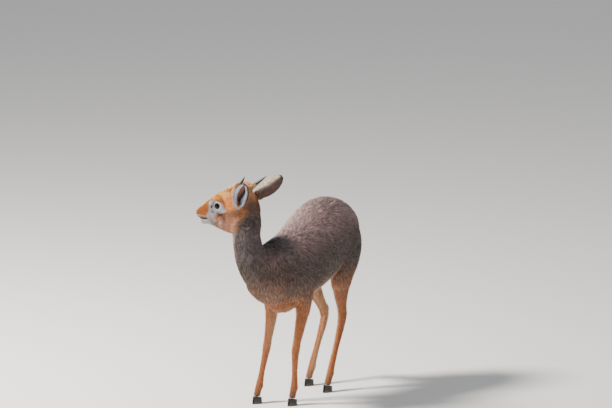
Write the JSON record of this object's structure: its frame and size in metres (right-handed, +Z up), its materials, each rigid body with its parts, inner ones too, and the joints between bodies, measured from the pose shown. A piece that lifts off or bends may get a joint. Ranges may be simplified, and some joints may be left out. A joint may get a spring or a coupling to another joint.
{
  "type": "standing dik-dik antelope",
  "caption": "Life-size model of a small male antelope standing with its head turned back over its right shoulder; short ringed horns, large ears and a tufted crest.",
  "frame": {"origin": "on the floor, below the middle of the animal's outline box", "axes": "+Z up; the chest and the forefeet face -Y; +X is the animal's left side; the head points to -X"},
  "size_m": [0.2318, 0.4416, 0.4907],
  "materials": {
    "coat_back": "grizzled grey-brown fur",
    "coat_neck": "grizzled grey fur",
    "coat_tawny": "short orange-tawny fur",
    "ear": "thin skin with very short grey fur",
    "horn": "dark ringed keratin",
    "hoof": "dark keratin",
    "eye": "wet and glossy"
  },
  "bodies": {
    "root": {"torso": "coat_back", "neck": "coat_neck", "head": "coat_tawny", "tail": "coat_back", "foreleg_left_upper": "coat_tawny", "foreleg_left_lower": "coat_tawny", "foreleg_left_claw_left": "hoof", "foreleg_left_claw_right": "hoof", "foreleg_right_upper": "coat_tawny", "foreleg_right_lower": "coat_tawny", "foreleg_right_claw_left": "hoof", "foreleg_right_claw_right": "hoof", "hindleg_left_upper": "coat_tawny", "hindleg_left_lower": "coat_tawny", "hindleg_left_claw_left": "hoof", "hindleg_left_claw_right": "hoof", "hindleg_right_upper": "coat_tawny", "hindleg_right_lower": "coat_tawny", "hindleg_right_claw_left": "hoof", "hindleg_right_claw_right": "hoof", "ear_left": "ear", "ear_right": "ear", "horn_left": "horn", "horn_right": "horn", "eye_left": "eye", "eye_right": "eye"}
  },
  "joints": []
}
